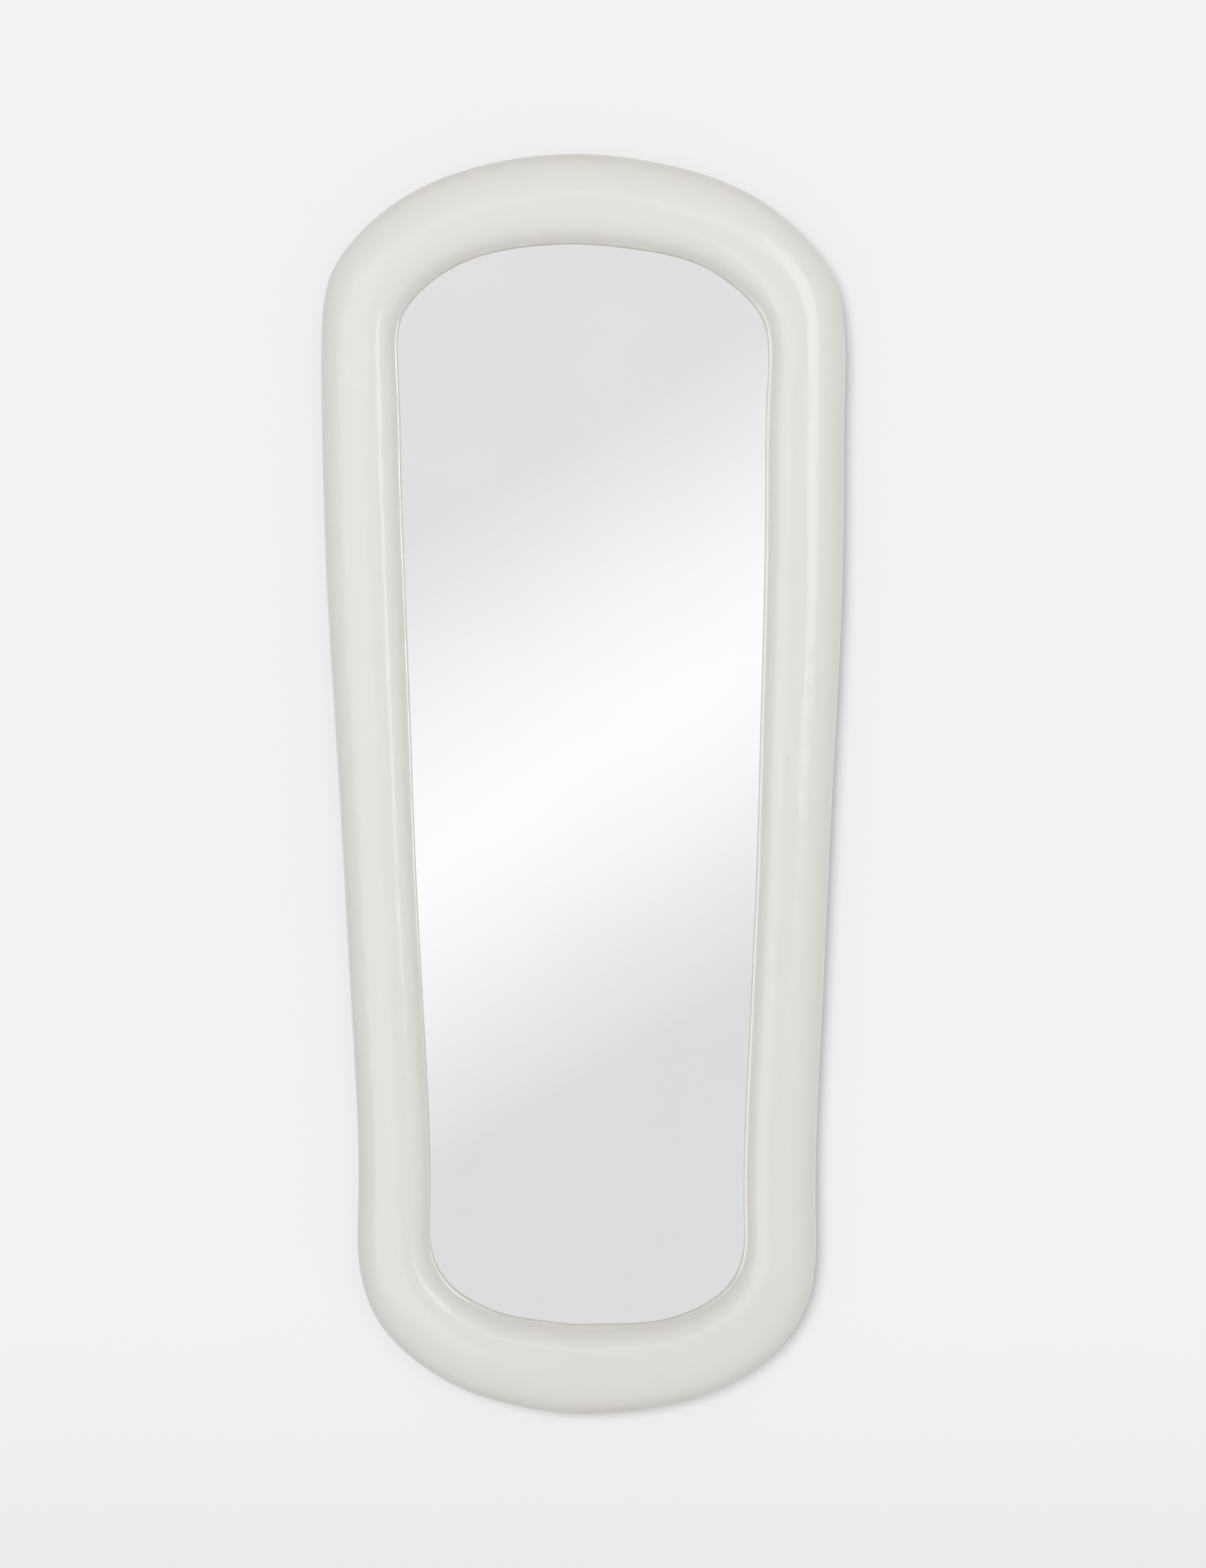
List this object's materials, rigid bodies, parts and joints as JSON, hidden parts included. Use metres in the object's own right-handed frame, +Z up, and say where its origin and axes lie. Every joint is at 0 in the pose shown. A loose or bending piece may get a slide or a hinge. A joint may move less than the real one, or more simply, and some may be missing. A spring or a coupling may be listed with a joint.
{
  "type": "full-length mirror",
  "caption": "Full-length mirror in a puffy, hand-formed off-white frame with rounded ends; a timber ring behind carries the glass, wall bumpers and D-ring hangers.",
  "frame": {"origin": "centre of the base of the overall box: mid width, mid depth with the wall bumpers included, lowest point of the rounded foot", "axes": "+X to the right as seen from the front, +Y from the front towards the wall, +Z up the mirror"},
  "size_m": [0.762, 0.079, 1.829],
  "materials": {
    "lacquered_resin": "off-white hand-rubbed satin-gloss lacquer",
    "plywood": "sanded birch plywood",
    "hardboard": "smooth brown hardboard",
    "mirror_glass": "clear silvered float glass",
    "glazing_tape": "closed-cell foam tape",
    "safety_film": "woven safety backing film",
    "setting_rubber": "neoprene",
    "pad_rubber": "sponge rubber",
    "bumper_rubber": "grey rubber",
    "ring_wire": "nickel-plated wire",
    "zinc_steel": "bright zinc plate"
  },
  "bodies": {
    "mirror": {"frame_shell": "lacquered_resin", "ring_bottom": "plywood", "ring_top": "plywood", "ring_left": "plywood", "ring_right": "plywood", "ring_screws": "zinc_steel", "splice_plate_lower_left": "zinc_steel", "splice_plate_lower_right": "zinc_steel", "splice_plate_upper_left": "zinc_steel", "splice_plate_upper_right": "zinc_steel", "splice_screws": "zinc_steel", "glazing_tape": "glazing_tape", "mirror_glass": "mirror_glass", "safety_film": "safety_film", "setting_block_left": "setting_rubber", "setting_block_right": "setting_rubber", "edge_spacers": "setting_rubber", "cushion_pads": "pad_rubber", "back_panel": "hardboard", "panel_screws": "zinc_steel", "hanger_strap_left": "zinc_steel", "hanger_strap_right": "zinc_steel", "hanger_screws": "zinc_steel", "wall_bumper_lower_left": "bumper_rubber", "wall_bumper_lower_right": "bumper_rubber", "wall_bumper_upper_left": "bumper_rubber", "wall_bumper_upper_right": "bumper_rubber", "bumper_washers": "zinc_steel", "bumper_screws": "zinc_steel"},
    "ring_left": {"hanger_ring_left": "ring_wire"},
    "ring_right": {"hanger_ring_right": "ring_wire"}
  },
  "joints": [
    {"name": "hanger_ring_left_swing", "type": "hinge", "parent": "mirror", "child": "ring_left", "pos_m": [-0.33852, 0.02708, 1.499], "axis": [1, 0, 0], "range_deg": [0, 178]},
    {"name": "hanger_ring_right_swing", "type": "hinge", "parent": "mirror", "child": "ring_right", "pos_m": [0.33833, 0.02708, 1.499], "axis": [1, 0, 0], "range_deg": [0, 178]}
  ]
}
